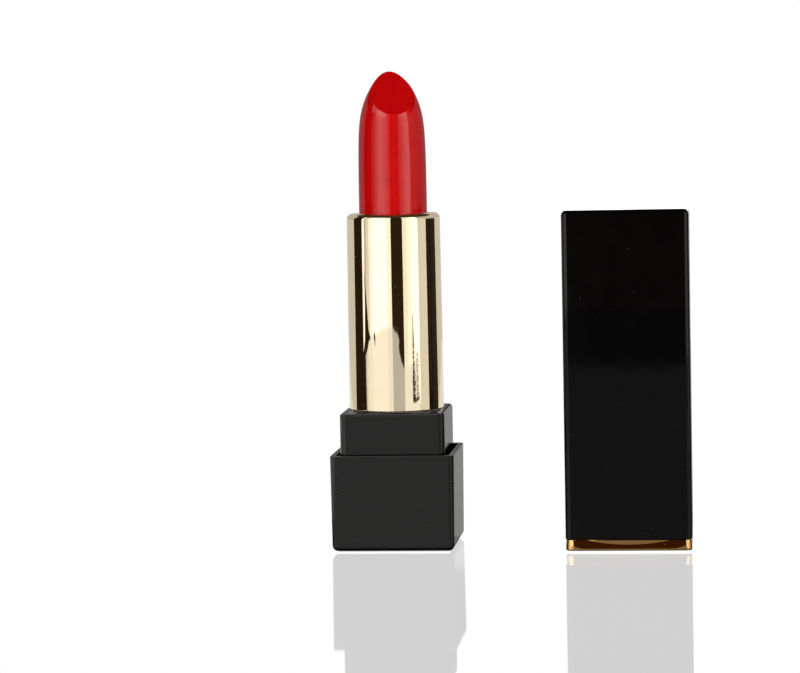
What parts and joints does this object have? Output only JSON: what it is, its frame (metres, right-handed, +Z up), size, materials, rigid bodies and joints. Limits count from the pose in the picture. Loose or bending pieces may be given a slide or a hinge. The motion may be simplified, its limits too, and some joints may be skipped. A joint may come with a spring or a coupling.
{
  "type": "lipstick case",
  "caption": "Square twist-up lipstick case with a raised bullet and its loose pull-off cap standing beside it.",
  "frame": {"origin": "centre of the underside of the case's base, which stands on the table at z = 0; the loose cap stands beside it, towards +X", "axes": "+Z up along the case's own axis, +X from the case to the loose cap, -Y the front, which the slanted cut of the bullet faces"},
  "size_m": [0.0631, 0.022, 0.0841],
  "materials": {
    "black_gloss": "glossy black moulded plastic",
    "black_inner": "unpolished black plastic",
    "champagne_gold": "polished pale gold anodised aluminium",
    "amber_gold": "polished amber gold anodised aluminium",
    "natural_plastic": "unpainted white moulded plastic",
    "weight_steel": "bare sawn steel",
    "silicone": "soft grey silicone",
    "red_wax": "satin red cosmetic wax"
  },
  "bodies": {
    "base": {"base_shell": "black_gloss", "base_insert": "black_gloss", "base_weight": "weight_steel", "guide_fork": "natural_plastic", "brake_ring": "silicone"},
    "tube": {"gold_tube": "champagne_gold", "spiral_sleeve": "natural_plastic"},
    "lift": {"bullet_carrier": "natural_plastic", "lipstick_bullet": "red_wax"},
    "cap": {"cap_shell": "black_gloss", "cap_collar": "amber_gold", "cap_liner": "black_inner"}
  },
  "joints": [
    {"name": "tube_twist", "type": "hinge", "parent": "base", "child": "tube", "pos_m": [0, 0, 0.0242], "axis": [0, 0, 1], "range_deg": [0, 540]},
    {"name": "bullet_lift", "type": "slide", "parent": "base", "child": "lift", "axis": [0, 0, 1], "range_m": [-0.027, 0]},
    {"name": "cap_pull", "type": "slide", "parent": "base", "child": "cap", "axis": [0, 0, 1], "range_m": [0, 0.09]}
  ],
  "couplings": [
    {"joint": "bullet_lift", "follows": "tube_twist", "m_per_rad": -0.0028648}
  ]
}
